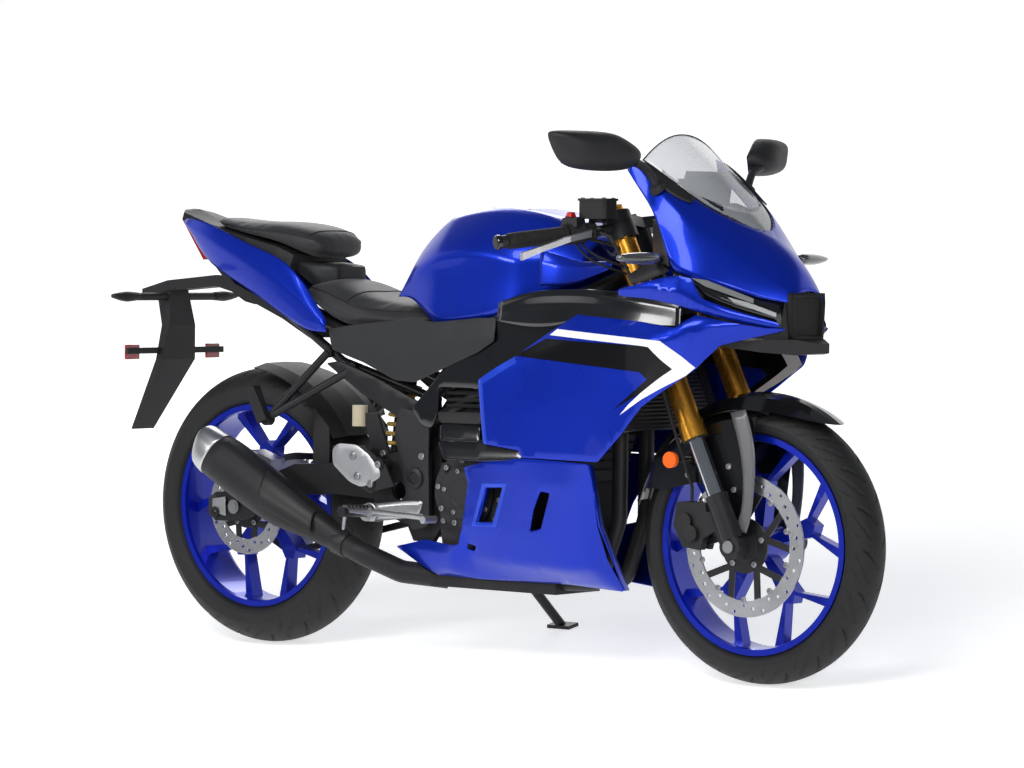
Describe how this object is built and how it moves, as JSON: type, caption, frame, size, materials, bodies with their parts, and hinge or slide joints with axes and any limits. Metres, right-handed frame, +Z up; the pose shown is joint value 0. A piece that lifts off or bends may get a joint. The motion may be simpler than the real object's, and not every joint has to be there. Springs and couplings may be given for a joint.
{
  "type": "sport bike",
  "caption": "Faired sport motorcycle leaning on its side stand, with turning wheels, steering, folding stand and a hinged fuel cap.",
  "frame": {"origin": "centre of the parked bike's box, at the floor", "axes": "+X forward along the bike, +Y to the rider's left, +Z up"},
  "size_m": [2.0869, 0.82, 1.2058],
  "materials": {
    "blue_paint": "deep gloss metallic blue",
    "blue_wheel": "deep gloss blue",
    "tyre": "matte black rubber",
    "gloss_black": "gloss black",
    "frame_black": "satin black paint",
    "engine_black": "satin black casting",
    "exhaust_black": "matte heat-proof black",
    "brushed_metal": "brushed",
    "black_plastic": "matte black",
    "grey_plastic": "matte dark grey",
    "saddle_cover": "grained dark grey",
    "grip_rubber": "ribbed black",
    "gold_anodised": "gold anodised",
    "hard_chrome": "polished",
    "spring_yellow": "yellow paint",
    "radiator_grey": "finned core in dark grey",
    "clear_screen": "clear",
    "orange_lens": "orange reflector",
    "red_lens": "red lens",
    "lamp_lens": "smoked lens",
    "reservoir": "translucent beige"
  },
  "bodies": {
    "chassis": {"main_frame": "frame_black", "subframe": "frame_black", "swingarm": "frame_black", "rear_axle": "brushed_metal", "engine": "engine_black", "exhaust_pipes": "exhaust_black", "muffler": "exhaust_black", "muffler_end": "brushed_metal", "radiator": "radiator_grey", "shock_absorber": "black_plastic", "shock_spring": "spring_yellow", "drive_chain": "brushed_metal", "rear_hugger": "black_plastic", "rear_caliper": "engine_black", "fuel_tank": "blue_paint", "filler_ring": "brushed_metal", "rider_saddle": "saddle_cover", "passenger_saddle": "saddle_cover", "tail_panels": "blue_paint", "tail_trays": "black_plastic", "plate_hanger": "black_plastic", "rear_lamps": "red_lens", "side_covers": "grey_plastic", "side_fairings": "blue_paint", "lower_cowls": "blue_paint", "nose_panels": "blue_paint", "front_core": "black_plastic", "lamp_strips": "lamp_lens", "windscreen": "clear_screen", "cockpit": "black_plastic", "mirrors": "black_plastic", "front_indicators": "lamp_lens", "gloss_strakes": "gloss_black", "tank_wings": "blue_paint", "rearsets": "brushed_metal", "foot_levers": "brushed_metal", "passenger_footrests": "engine_black", "rear_reservoir": "reservoir"},
    "steering": {"triple_clamps": "engine_black", "fork_outer_tubes": "gold_anodised", "fork_inner_tubes": "hard_chrome", "fork_lugs": "engine_black", "front_axle": "brushed_metal", "front_fender": "gloss_black", "front_caliper": "engine_black", "fork_reflectors": "orange_lens", "clip_on_bars": "engine_black", "grips": "grip_rubber", "hand_controls": "engine_black", "hand_levers": "brushed_metal", "brake_hose": "grip_rubber"},
    "front_wheel": {"front_rim": "blue_wheel", "front_tyre": "tyre", "front_disc": "brushed_metal"},
    "rear_wheel": {"rear_rim": "blue_wheel", "rear_tyre": "tyre", "rear_disc": "brushed_metal", "rear_sprocket": "brushed_metal"},
    "side_stand": {"side_stand_leg": "engine_black"},
    "fuel_cap": {"fuel_cap": "brushed_metal"}
  },
  "joints": [
    {"name": "steering_turn", "type": "hinge", "parent": "chassis", "child": "steering", "pos_m": [0.48839, -0.06873, 0.75431], "axis": [-0.4226, 0.1652, 0.8911], "range_deg": [-27, 27]},
    {"name": "front_wheel_spin", "type": "hinge", "parent": "steering", "child": "front_wheel", "pos_m": [0.7505, -0.1549, 0.2894], "axis": [0, 0.9833, -0.1822], "continuous": true},
    {"name": "rear_wheel_spin", "type": "hinge", "parent": "chassis", "child": "rear_wheel", "pos_m": [-0.6295, -0.15107, 0.31005], "axis": [0, 0.9833, -0.1822], "continuous": true},
    {"name": "side_stand_fold", "type": "hinge", "parent": "chassis", "child": "side_stand", "pos_m": [-0.0545, -0.0371, 0.21163], "axis": [0.0769, 0.8499, 0.5213], "range_deg": [0, 84.99]},
    {"name": "fuel_cap_lift", "type": "hinge", "parent": "chassis", "child": "fuel_cap", "pos_m": [0.0245, -0.02806, 0.97374], "axis": [0, -0.9833, 0.1822], "range_deg": [0, 95]}
  ]
}
